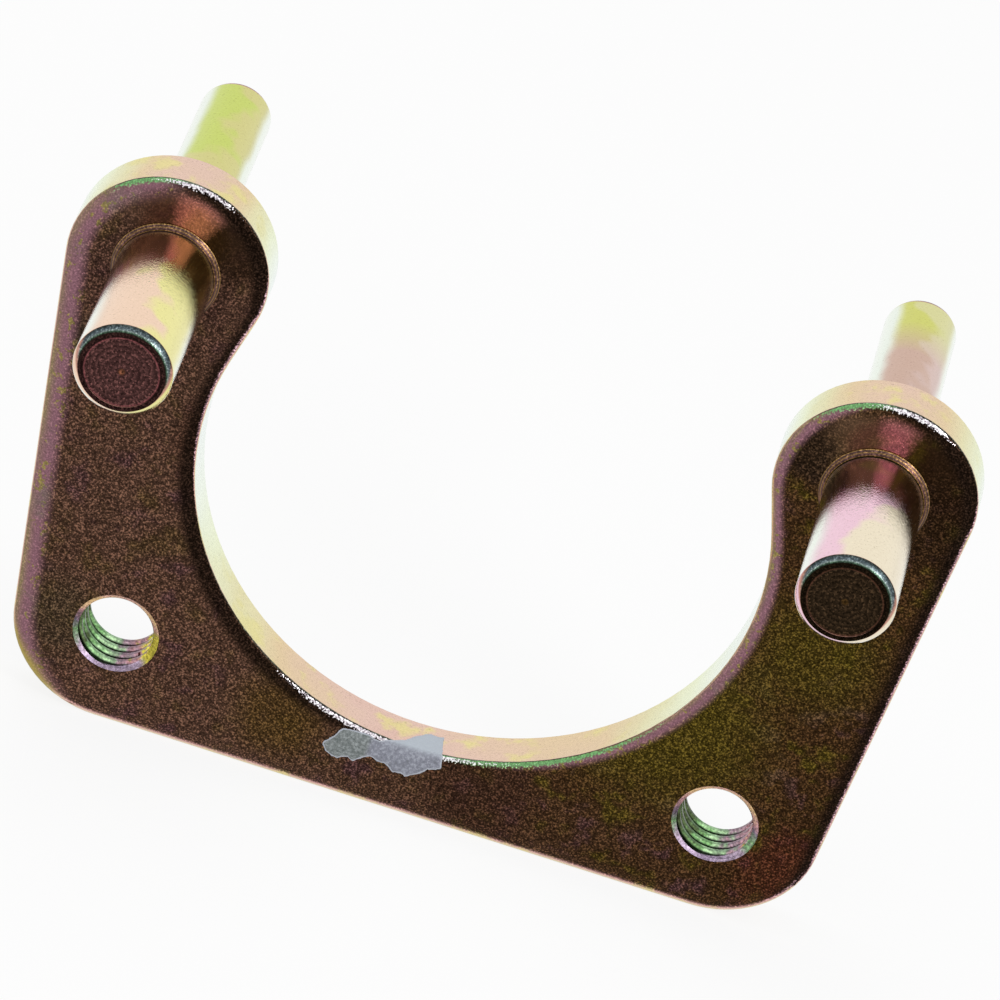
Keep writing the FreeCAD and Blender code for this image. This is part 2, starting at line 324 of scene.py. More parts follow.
# Patches of the plate's film with a place of their own: across and up in millimetres, how far
# they reach, their tint, either one of the colours above or a code, and how strong they are
FACE_Y_MM = -3.2
BLOOMS = (
    (27.0, 12.0, 17.0, "olive", 0.9), (41.0, 26.0, 11.0, "olive", 0.7),
    (-43.0, 0.0, 8.0, "#3a3223", 0.6), (46.0, -4.0, 9.0, "#47231a", 0.6),
    (-41.5, 46.0, 13.0, "#3c2822", 0.75), (-30.0, 28.0, 8.0, "#3a2319", 0.6),
    (50.0, 46.0, 9.0, "#24180f", 0.7), (47.5, 52.5, 8.0, "#24170e", 0.85),
    (37.8, 52.5, 8.0, "#5a4432", 0.9), (33.3, 50.5, 6.0, "#241a12", 0.85),
    (-34.0, 53.0, 7.0, "#291b11", 0.85), (-47.5, 36.0, 5.0, "#2f2a20", 0.7),
    (9.0, -6.0, 10.0, "#35221a", 0.65), (-15.5, -4.0, 8.0, "#463514", 0.65),
)


def plated_plate(sizes, colours):
    """Yellow zinc chromate on blasted steel plate.

    Seen straight on, the film is dark bronze with olive and plum patches and the blasting's
    grain, its darkness partly painted reflection. On the rolled edge the colours are painted
    reflection: mauve where it dips to the left, nearly black where it dips to the right, with
    painted highlights. On the sheared walls it turns through rose and straw to a pale mint,
    made pale by painted reflection."""
    material, tree = new_material("Yellow chromate on blasted plate")
    at = on_the_part(tree)
    # Patches a centimetre across, blots of 4 mm and flecks of 1 mm. The grit marks are finer on
    # the real part, and are drawn 0.2 mm wide to be seen at all.
    patches = add(tree, NOISE, {"Vector": at["mm"], "Scale": 0.075, "Detail": 3.0})
    blots = add(tree, NOISE, {
        "Vector": at["mm"], "Scale": 0.26, "Detail": 3.0, "Roughness": 0.6})
    flecks = add(tree, NOISE, {
        "Vector": at["mm"], "Scale": 0.8, "Detail": 3.0, "Roughness": 0.7})
    grain = add(tree, NOISE, {
        "Vector": at["mm"], "Scale": 4.6, "Detail": 1.5, "Roughness": 0.6})

    # Straight on: plum-bronze on the left, olive-bronze on the right
    drift = add(tree, MATH, {0: patches, 1: 60.0, 2: at["x"]}, operation="MULTIPLY_ADD")
    to_right = add(tree, RANGE, {0: drift, 1: 0.0, 2: 70.0}, **EASED)
    dark = add(tree, MIX, {0: to_right, 6: colours.bronze, 7: colours.umber}, **TINT)
    in_olive = add(tree, RANGE, {0: blots, 1: 0.52, 2: 0.70, 4: 0.85}, **EASED)
    olive_share = add(tree, RANGE, {0: to_right, 1: 0.0, 2: 1.0, 3: 0.4, 4: 1.0})
    in_olive = add(tree, MATH, {0: in_olive, 1: olive_share}, operation="MULTIPLY")
    dark = add(tree, MIX, {0: in_olive, 6: dark, 7: colours.olive}, **TINT)
    in_plum = add(tree, RANGE, {0: blots, 1: 0.46, 2: 0.30, 4: 0.7}, **EASED)
    dark = add(tree, MIX, {0: in_plum, 6: dark, 7: colours.plum}, **TINT)

    # Patches with a place of their own, their borders broken up by the blots
    for x, z, reach, tint, share in BLOOMS:
        tint = linear(tint) if tint.startswith("#") else getattr(colours, tint)
        place = (x, FACE_Y_MM, z)
        off = add(tree, "ShaderNodeVectorMath", {0: at["mm"], 1: place}, operation="DISTANCE")
        off = add(tree, MATH, {0: blots, 1: reach, 2: off}, operation="MULTIPLY_ADD")
        bloom = add(tree, RANGE, {0: off, 1: reach * 1.45, 2: reach * 0.8, 4: share}, **EASED)
        dark = add(tree, MIX, {0: bloom, 6: dark, 7: tint}, **TINT)

    # Painted reflection of the bright pin in the ear's face above it, a warm flush
    across, up, away = about_axis(tree, at, sizes.pin_spacing / 2 / MM, sizes.pin_height / MM)
    on_right = add(tree, RANGE, {0: at["side"], 1: -1.0, 2: 1.0})
    lean = add(tree, RANGE, {0: on_right, 1: 0.0, 2: 1.0, 3: 0.21, 4: 0.05})
    lean = add(tree, MATH, {0: across, 1: lean}, operation="MULTIPLY")
    lean = add(tree, MATH, {0: up, 1: 0.97, 2: lean}, operation="MULTIPLY_ADD")
    lean = add(tree, MATH, {0: lean, 1: away}, operation="DIVIDE")
    lean = add(tree, MATH, {0: grain, 1: 0.03, 2: lean}, operation="MULTIPLY_ADD")
    painted_pin_reflection = add(tree, RANGE, {0: lean, 1: 0.935, 2: 1.015, 4: 0.92}, **EASED)
    near = add(tree, RANGE, {0: away, 1: 10.8, 2: 9.4}, **EASED)
    painted_pin_reflection = add(tree, MATH, {0: painted_pin_reflection, 1: near}, operation="MULTIPLY")
    pin_reflection_tint = add(tree, MIX, {0: on_right, 6: linear("#a96d67"), 7: linear("#aa6b6d")}, **TINT)
    dark = add(tree, MIX, {0: painted_pin_reflection, 6: dark, 7: pin_reflection_tint}, **TINT)

    # The ear's grain is weaker above the pin than below it
    smooth = add(tree, RANGE, {0: lean, 1: 0.3, 2: 0.95}, **EASED)
    smooth = add(tree, MATH, {0: smooth, 1: near}, operation="MULTIPLY")

    # The rolled edge, painted reflection: mauve to the left with yellow-green flecks, wider on
    # the left ear's side
    ragged = add(tree, MATH, {0: grain, 1: 0.5}, operation="SUBTRACT")
    leftward = add(tree, MATH, {0: at["face_z"], 1: -0.15, 2: at["face_x"]},
                   operation="MULTIPLY_ADD")
    leftward = add(tree, MATH, {0: ragged, 1: 0.06, 2: leftward}, operation="MULTIPLY_ADD")
    starts = add(tree, RANGE, {0: at["x"], 1: -36.0, 2: -20.0, 3: 0.0, 4: 0.12})
    leftward = add(tree, MATH, {0: leftward, 1: starts}, operation="ADD")
    to_left = add(tree, RANGE, {0: leftward, 1: -0.01, 2: -0.165}, **EASED)
    flecked = add(tree, RANGE, {0: flecks, 1: 0.57, 2: 0.63, 4: 0.9}, **EASED)
    mauve = add(tree, MIX, {0: flecked, 6: colours.mauve, 7: linear("#8d8046")}, **TINT)
    greened = add(tree, RANGE, {0: blots, 1: 0.52, 2: 0.75, 4: 0.5}, **EASED)
    mauve = add(tree, MIX, {0: greened, 6: mauve, 7: linear("#6e6a5c")}, **TINT)
    outer = add(tree, RANGE, {0: leftward, 1: -0.16, 2: -0.50}, **EASED)
    patchy = add(tree, RANGE, {0: patches, 1: 0.40, 2: 0.58, 3: 0.25, 4: 0.9})
    outer = add(tree, MATH, {0: outer, 1: patchy}, operation="MULTIPLY")
    mauve = add(tree, MIX, {0: outer, 6: mauve, 7: linear("#8d7c5a")}, **TINT)
    dark = add(tree, MIX, {0: to_left, 6: dark, 7: mauve}, **TINT)
    # Painted dark reflection: nearly black where it dips to the right or up, and grey-green
    # close to the wall
    rightward = add(tree, MATH, {0: at["face_z"], 1: 0.55, 2: at["face_x"]},
                    operation="MULTIPLY_ADD")
    rightward = add(tree, MATH, {0: ragged, 1: 0.10, 2: rightward}, operation="MULTIPLY_ADD")
    dark_reflection = add(tree, RANGE, {0: rightward, 1: 0.07, 2: 0.26, 4: 0.92}, **EASED)
    dark = add(tree, MIX, {0: dark_reflection, 6: dark, 7: linear("#1c130e")}, **TINT)
    upward = add(tree, RANGE, {0: at["face_z"], 1: 0.0, 2: 0.3}, **EASED)
    steep_reflection = add(tree, RANGE, {0: at["face_y"], 1: 0.70, 2: 0.52}, **EASED)
    steep_reflection = add(tree, MATH, {0: steep_reflection, 1: upward}, operation="MULTIPLY")
    dark = add(tree, MIX, {0: steep_reflection, 6: dark, 7: linear("#454c42")}, **TINT)
    # Bright where it leans towards the light, green above and white to the upper right
    green = leans(tree, at, (-0.27, -0.76, 0.59), 0.945, 0.98, ragged)
    dark = add(tree, MIX, {0: green, 6: dark, 7: linear("#6f9f68")}, **TINT)
    glint = leans(tree, at, (0.05, -0.80, 0.60), 0.972, 0.992, ragged)
    dark = add(tree, MIX, {0: glint, 6: dark, 7: linear("#dcd4de")}, **TINT)
    # And a pale pink line down the right side, a painted reflection
    right_rim_reflection = add(tree, MATH, {0: at["face_z"], 1: -0.9, 2: at["face_x"]}, operation="MULTIPLY_ADD")
    right_rim_reflection = add(tree, MATH, {0: ragged, 1: 0.2, 2: right_rim_reflection}, operation="MULTIPLY_ADD")
    right_rim_reflection = add(tree, RANGE, {0: right_rim_reflection, 1: 0.46, 2: 0.66}, **EASED)
    dark = add(tree, MIX, {0: right_rim_reflection, 6: dark, 7: linear("#b08a94")}, **TINT)

    # Seen at a slant, for the sheared walls: the film's colours, made pale by painted reflection
    film = add(tree, MATH, {0: patches, 1: 0.2, 2: at["slant"]}, operation="MULTIPLY_ADD")
    film = add(tree, MATH, {0: film, 1: 0.10}, operation="SUBTRACT")
    pale = add(tree, RAMP, {0: film}, stops=[
        (0.0, "#f3fbf7"), (0.14, "#eef6e8"), (0.26, "#e9efcc"), (0.37, "#e2dcae"),
        (0.44, "#e0c8a0"), (0.52, "#dfbfb0"), (0.61, "#d2a39c"), (0.69, "#8a5a60")])
    in_straw = add(tree, RANGE, {0: blots, 1: 0.50, 2: 0.68}, **EASED)
    lit = add(tree, RANGE, {0: at["slant"], 1: 0.2, 2: 0.45, 4: 0.7}, **EASED)
    in_straw = add(tree, MATH, {0: in_straw, 1: lit}, operation="MULTIPLY")
    pale = add(tree, MIX, {0: in_straw, 6: pale, 7: colours.straw}, **TINT)
    downward = add(tree, RANGE, {0: at["face_z"], 1: -0.5, 2: -0.95, 4: 0.7}, **EASED)
    pale = add(tree, MIX, {0: downward, 6: pale, 7: linear("#c4967a")}, **TINT)
    at_back = add(tree, RANGE, {0: at["y"], 1: 2.95, 2: 3.02})
    pale = add(tree, MIX, {0: at_back, 6: pale, 7: linear("#a992b2")}, **TINT)

    # Dark straight on, pale at a slant: the film's colours with painted reflection
    straight = add(tree, RANGE, {0: at["slant"], 1: 0.56, 2: 0.70}, **EASED)
    base = add(tree, MIX, {0: straight, 6: pale, 7: dark}, **TINT)
    # Olive round the lower left corner, on the roll and the wall: a painted reflection
    corner_reflection = add(tree, MATH, {0: at["face_x"], 1: at["face_z"]}, operation="MAXIMUM")
    corner_reflection = add(tree, MATH, {0: ragged, 1: 0.12, 2: corner_reflection}, operation="MULTIPLY_ADD")
    corner_reflection = add(tree, RANGE, {0: corner_reflection, 1: -0.07, 2: -0.28}, **EASED)
    base = add(tree, MIX, {0: corner_reflection, 6: base, 7: linear("#a5934e")}, **TINT)
    # Grit marks, their brightest specks painted sparkle: strong on the dark face, weak on the
    # mauve edge and the walls
    marks = add(tree, RAMP, {0: grain}, stops=[
        (0.28, (0.26, 0.25, 0.24)), (0.42, (0.60, 0.59, 0.58)), (0.54, (1.10, 1.09, 1.07)),
        (0.70, (4.0, 3.9, 3.8))])
    faint = add(tree, RAMP, {0: grain}, stops=[
        (0.26, (0.70, 0.70, 0.70)), (0.36, (0.96, 0.96, 0.96)), (0.7, (1.1, 1.1, 1.1))])
    even = add(tree, MATH, {0: to_left, 1: smooth}, operation="MAXIMUM")
    even = add(tree, MATH, {0: even, 1: 0.8}, operation="MULTIPLY")
    even = add(tree, MATH, {0: straight, 1: even}, operation="SUBTRACT", use_clamp=True)
    marked = add(tree, MIX, {0: even, 6: faint, 7: marks}, **TINT)
    base = add(tree, MIX, {0: 1.0, 6: base, 7: marked}, **TINTED_BY)

    bump = add(tree, "ShaderNodeBump", {"Height": grain, "Strength": 0.35, "Distance": 0.00006})
    gloss = add(tree, RANGE, {0: blots, 1: 0.3, 2: 0.7, 3: 0.22, 4: 0.32})
    shader = add(tree, "ShaderNodeBsdfPrincipled", {
        "Base Color": base, "Metallic": 1.0, "Roughness": gloss, "Normal": bump})
    add(tree, "ShaderNodeOutputMaterial", {"Surface": shader})
    return material


def plated_thread(sizes):
    """Yellow zinc chromate on a cut thread: bright, green to the left and plum to the right."""
    material, tree = new_material("Yellow chromate on cut thread")
    at = on_the_part(tree)
    across, up, away = about_axis(tree, at, sizes.hole_spacing / 2 / MM, 0.0)
    wander = add(tree, NOISE, {"Vector": at["mm"], "Scale": 0.9, "Detail": 2.0})
    wander = add(tree, MATH, {0: wander, 1: 0.5}, operation="SUBTRACT")
    # The left hole goes on to plum and a yellow-green lip, the right one stays green for longer
    shift = add(tree, MATH, {0: at["side"], 1: -0.6}, operation="MULTIPLY")
    around = add(tree, MATH, {0: across, 1: shift}, operation="ADD")
    around = add(tree, MATH, {0: wander, 1: 6.0, 2: around}, operation="MULTIPLY_ADD")
    hue = add(tree, RANGE, {0: around, 1: -5.0, 2: 5.0})
    shown = add(tree, RAMP, {0: hue}, stops=[
        (0.0, "#39402c"), (0.16, "#4c5c3e"), (0.34, "#6f9a66"), (0.48, "#a3c49a"),
        (0.60, "#7c9478"), (0.72, "#8d7684"), (0.86, "#9a7076"), (0.96, "#b3aa44")])
    # Painted shade and light: crests and roots come up dark, the flanks bright
    groove = add(tree, RAMP, {0: add(tree, RANGE, {0: away, 1: 4.2, 2: 5.05})}, stops=[
        (0.0, (0.6, 0.6, 0.6)), (0.06, (0.9, 0.9, 0.9)), (0.12, (1.5, 1.5, 1.4)),
        (0.30, (1.6, 1.6, 1.5)), (0.42, (0.6, 0.6, 0.6)), (0.50, (0.04, 0.04, 0.04))])
    # The chamfer at the mouth: lilac below, gold and pink above
    in_mouth = add(tree, RANGE, {0: at["y"], 1: -2.42, 2: -2.47})
    rising = add(tree, MATH, {0: wander, 1: 3.0, 2: up}, operation="MULTIPLY_ADD")
    lip = add(tree, RAMP, {0: add(tree, RANGE, {0: rising, 1: -5.0, 2: 5.0})}, stops=[
        (0.0, "#a493ab"), (0.2, "#b5a2b4"), (0.36, "#83ab78"), (0.52, "#8a7a8c"),
        (0.66, "#d8a4a6"), (0.82, "#f6cf94"), (1.0, "#f0b8ac")])
    # with a yellow-green patch on the right of the left hole
    patch = add(tree, "ShaderNodeVectorMath", {0: at["mm"], 1: (-31.3, -2.9, -0.8)},
                operation="DISTANCE")
    patch = add(tree, RANGE, {0: patch, 1: 2.8, 2: 1.6}, **EASED)
    lip = add(tree, MIX, {0: patch, 6: lip, 7: linear("#c6b94c")}, **TINT)
    base = add(tree, MIX, {0: 1.0, 6: shown, 7: groove}, **TINTED_BY)
    base = add(tree, MIX, {0: in_mouth, 6: base, 7: lip}, **TINT)
    grain = add(tree, NOISE, {"Vector": at["mm"], "Scale": 3.4, "Detail": 2.0})
    marks = add(tree, RAMP, {0: grain}, stops=[
        (0.32, (0.55, 0.55, 0.55)), (0.5, (0.95, 0.95, 0.95)), (0.68, (1.5, 1.5, 1.5))])
    base = add(tree, MIX, {0: 1.0, 6: base, 7: marks}, **TINTED_BY)
    bump = add(tree, "ShaderNodeBump", {"Height": grain, "Strength": 0.4, "Distance": 0.00006})
    gloss = add(tree, RANGE, {0: in_mouth, 1: 0.0, 2: 1.0, 3: 0.2, 4: 0.5})
    # The lip's upper half is rough and scatters the light
    rough_lip = add(tree, RANGE, {0: rising, 1: 0.5, 2: 2.5, 4: 0.8})
    rough_lip = add(tree, MATH, {0: rough_lip, 1: in_mouth}, operation="MULTIPLY")
    metal = add(tree, MATH, {0: 1.0, 1: rough_lip}, operation="SUBTRACT")
    shader = add(tree, "ShaderNodeBsdfPrincipled", {
        "Base Color": base, "Metallic": metal, "Roughness": gloss, "Normal": bump})
    add(tree, "ShaderNodeOutputMaterial", {"Surface": shader})
    return material


def plated_pins(sizes, colours):
    """Yellow zinc chromate on turned steel: the same film, brighter, on a smoother surface.

    The sides are mint at their limbs, a painted reflection, and pink, straw or yellow-green
    along the top, and the ends are dark with the lathe's rings, their darkness partly painted
    reflection."""
    material, tree = new_material("Yellow chromate on turned pins")
    at = on_the_part(tree)
    across, up, away = about_axis(tree, at, sizes.pin_spacing / 2 / MM, sizes.pin_height / MM)
    # Clouds 7 mm across, and marks that are drawn 0.2 mm wide to be seen at all
    clouds = add(tree, NOISE, {
        "Vector": at["mm"], "Scale": 0.14, "Detail": 2.0, "Roughness": 0.55})
    grain = add(tree, NOISE, {
        "Vector": at["mm"], "Scale": 4.2, "Detail": 2.0, "Roughness": 0.6})

    # Sides: pink with straw clouds in front of the plate, yellow-green behind it, where the right
    # pin turns from pink to yellow-green towards its tail
    behind = add(tree, RANGE, {0: at["y"], 1: 0.0, 2: 1.0})
    on_right = add(tree, RANGE, {0: at["side"], 1: -1.0, 2: 1.0})
    front = add(tree, MIX, {0: on_right, 6: linear("#f1d3ba"), 7: linear("#efc9d8")}, **TINT)
    tail = add(tree, RANGE, {0: at["y"], 1: 24.0, 2: 31.0})
    yellowed = add(tree, MIX, {0: tail, 6: linear("#cdae9e"), 7: linear("#d0d270")}, **TINT)
    rear = add(tree, MIX, {0: on_right, 6: linear("#c9d66e"), 7: yellowed}, **TINT)
    first = add(tree, MIX, {0: behind, 6: front, 7: rear}, **TINT)
    front = add(tree, MIX, {0: on_right, 6: linear("#ece69c"), 7: linear("#eee2c8")}, **TINT)
    yellowed = add(tree, MIX, {0: tail, 6: linear("#d6bcb4"), 7: linear("#d8d69a")}, **TINT)
    rear = add(tree, MIX, {0: on_right, 6: linear("#d4cf88"), 7: yellowed}, **TINT)
    second = add(tree, MIX, {0: behind, 6: front, 7: rear}, **TINT)
    cloudy = add(tree, MATH, {0: across, 1: 0.045, 2: clouds}, operation="MULTIPLY_ADD")
    clouded = add(tree, RANGE, {0: cloudy, 1: 0.47, 2: 0.60}, **EASED)
    top = add(tree, MIX, {0: clouded, 6: first, 7: second}, **TINT)
    # Mint at the limbs stands for painted reflection, as on the plate's walls
    turning = add(tree, MATH, {0: clouds, 1: 0.16, 2: at["slant"]}, operation="MULTIPLY_ADD")
    turning = add(tree, MATH, {0: across, 1: 0.015, 2: turning}, operation="MULTIPLY_ADD")
    limb = add(tree, RANGE, {0: behind, 1: 0.0, 2: 1.0, 3: 0.20, 4: 0.32})
    full = add(tree, RANGE, {0: behind, 1: 0.0, 2: 1.0, 3: 0.42, 4: 0.48})
    to_top = add(tree, RANGE, {0: turning, 1: limb, 2: full}, **EASED)
    pale = add(tree, MIX, {0: to_top, 6: colours.mint, 7: top}, **TINT)
    to_rust = add(tree, RANGE, {0: at["slant"], 1: 0.53, 2: 0.62}, **EASED)
    pale = add(tree, MIX, {0: to_rust, 6: pale, 7: linear("#c28d7c")}, **TINT)

    # Ends, dark partly by painted reflection: a gold centre, the lathe's rings, a thin pink
    # ring, then a dark one inside the chamfer
    dark = add(tree, MIX, {0: on_right, 6: linear("#4a302e"), 7: linear("#2c2116")}, **TINT)
    ringed = add(tree, MATH, {0: away, 1: 9.7}, operation="MULTIPLY")
    ringed = add(tree, MATH, {0: grain, 1: 11.0, 2: ringed}, operation="MULTIPLY_ADD")
    ringed = add(tree, MATH, {0: ringed}, operation="SINE")
    ringed = add(tree, RANGE, {0: ringed, 1: -1.0, 2: 1.0, 3: 0.72, 4: 1.35})
    out = add(tree, MATH, {0: away, 1: 1 / 6.5}, operation="MULTIPLY")
    rings = add(tree, RAMP, {0: out}, stops=[
        (0.0, (1.9, 1.7, 1.0)), (0.045, (1.6, 1.4, 0.8)), (0.075, (1, 1, 1)),
        (0.632, (0.9, 0.9, 0.9)), (0.643, (2.3, 1.7, 1.9)), (0.658, (2.0, 1.5, 1.7)),
        (0.668, (0.34, 0.32, 0.32)), (0.752, (0.30, 0.32, 0.30)), (0.765, (0.5, 0.6, 0.5))])
    dark = add(tree, MIX, {0: 1.0, 6: dark, 7: rings}, **TINTED_BY)
    dark = add(tree, MIX, {0: 1.0, 6: dark, 7: ringed}, **TINTED_BY)
    # The chamfer at the tip is steel grey above, with a painted highlight streak and a green
    # inner edge
    sloped = add(tree, RANGE, {0: at["face_y"], 1: 0.93, 2: 0.80}, **EASED)
    at_tip = add(tree, RANGE, {0: at["y"], 1: -25.0, 2: -25.6})
    sloped = add(tree, MATH, {0: sloped, 1: at_tip}, operation="MULTIPLY")
    chamfer = add(tree, RAMP, {0: out}, stops=[
        (0.766, "#27302a"), (0.778, "#3a523f"), (0.792, "#7d8c88"), (0.806, "#616d70"),
        (0.826, "#4a565b"), (0.852, "#343b39")])
    dark = add(tree, MIX, {0: sloped, 6: dark, 7: chamfer}, **TINT)
    # The collar at the plate is mauve-brown with thin gold edges, painted highlights
    collar = add(tree, RAMP, {0: out}, stops=[
        (0.862, "#4d3a2a"), (0.876, "#a9823f"), (0.884, "#4c362f"), (0.912, "#58403e"),
        (0.925, "#8b6d40"), (0.935, "#563f3d"), (0.955, "#54403a"), (0.966, "#9a7a4a")])
    beyond = add(tree, RANGE, {0: away, 1: 5.68, 2: 5.70})
    # Dark where the ends face the front or back: painted reflection as well as the film's colour
    painted_dark_ends = add(tree, RANGE, {0: at["slant"], 1: 0.60, 2: 0.74}, **EASED)
    base = add(tree, MIX, {0: painted_dark_ends, 6: pale, 7: dark}, **TINT)
    base = add(tree, MIX, {0: beyond, 6: base, 7: collar}, **TINT)

    faint = add(tree, RAMP, {0: grain}, stops=[
        (0.28, (0.72, 0.70, 0.68)), (0.38, (0.98, 0.97, 0.96)), (0.60, (1, 1, 1)),
        (0.72, (1.08, 1.07, 1.06))])
    strong = add(tree, RAMP, {0: grain}, stops=[
        (0.28, (0.4, 0.4, 0.4)), (0.46, (0.8, 0.8, 0.8)), (0.54, (1.1, 1.1, 1.1)),
        (0.70, (3.0, 2.9, 2.8))])
    marks = add(tree, MIX, {0: painted_dark_ends, 6: faint, 7: strong}, **TINT)
    base = add(tree, MIX, {0: 1.0, 6: base, 7: marks}, **TINTED_BY)
    bump = add(tree, "ShaderNodeBump", {"Height": grain, "Strength": 0.45, "Distance": 0.00005})
    gloss = add(tree, RANGE, {0: painted_dark_ends, 1: 0.0, 2: 1.0, 3: 0.08, 4: 0.34})
    shader = add(tree, "ShaderNodeBsdfPrincipled", {
        "Base Color": base, "Metallic": 1.0, "Roughness": gloss, "Normal": bump})
    add(tree, "ShaderNodeOutputMaterial", {"Surface": shader})
    return material


def seen_directly(tree):
    """The light path, and 1 for the rays that come from the camera or a mirror-like surface."""
    path = add(tree, "ShaderNodeLightPath").node
    seen = add(tree, MATH, {
        0: path.outputs["Is Camera Ray"], 1: path.outputs["Is Glossy Ray"]},
        operation="MAXIMUM")
    return path, seen


def torn_paper(colours):
    """Thin grey-white paper, mottled where the dark plate shows through it."""
    material, tree = new_material("Torn thin paper")
    at = on_the_part(tree)
    fibres = add(tree, NOISE, {"Vector": at["mm"], "Scale": 2.6, "Detail": 4.0, "Roughness": 0.7})
    mottled = add(tree, RAMP, {0: fibres}, stops=[
        (0.35, "#787b84"), (0.5, "#8d8f9c"), (0.62, "#a9adb8")])
    greyer = add(tree, RAMP, {0: fibres}, stops=[
        (0.35, "#636b6a"), (0.5, "#7f8585"), (0.64, "#a3aaab")])
    to_left = add(tree, RANGE, {0: at["x"], 1: -4.2, 2: -4.8})
    mottled = add(tree, MIX, {0: to_left, 6: mottled, 7: greyer}, **TINT)
    over_wall = add(tree, RANGE, {0: at["y"], 1: -2.9, 2: -2.2}, **EASED)
    base = add(tree, MIX, {0: over_wall, 6: mottled, 7: colours.paper}, **TINT)
    bump = add(tree, "ShaderNodeBump", {"Height": fibres, "Strength": 0.5, "Distance": 0.0001})
    shader = add(tree, "ShaderNodeBsdfPrincipled", {
        "Base Color": base, "Roughness": 0.9, "Normal": bump})
    add(tree, "ShaderNodeOutputMaterial", {"Surface": shader})
    return material


def torn_edge():
    """The fibres at the paper's tear, paler than its face."""
    material, tree = new_material("Torn paper edge")
    shader = add(tree, "ShaderNodeBsdfPrincipled", {
        "Base Color": linear("#b3b8c2"), "Roughness": 0.95})
    add(tree, "ShaderNodeOutputMaterial", {"Surface": shader})
    return material


# Operators

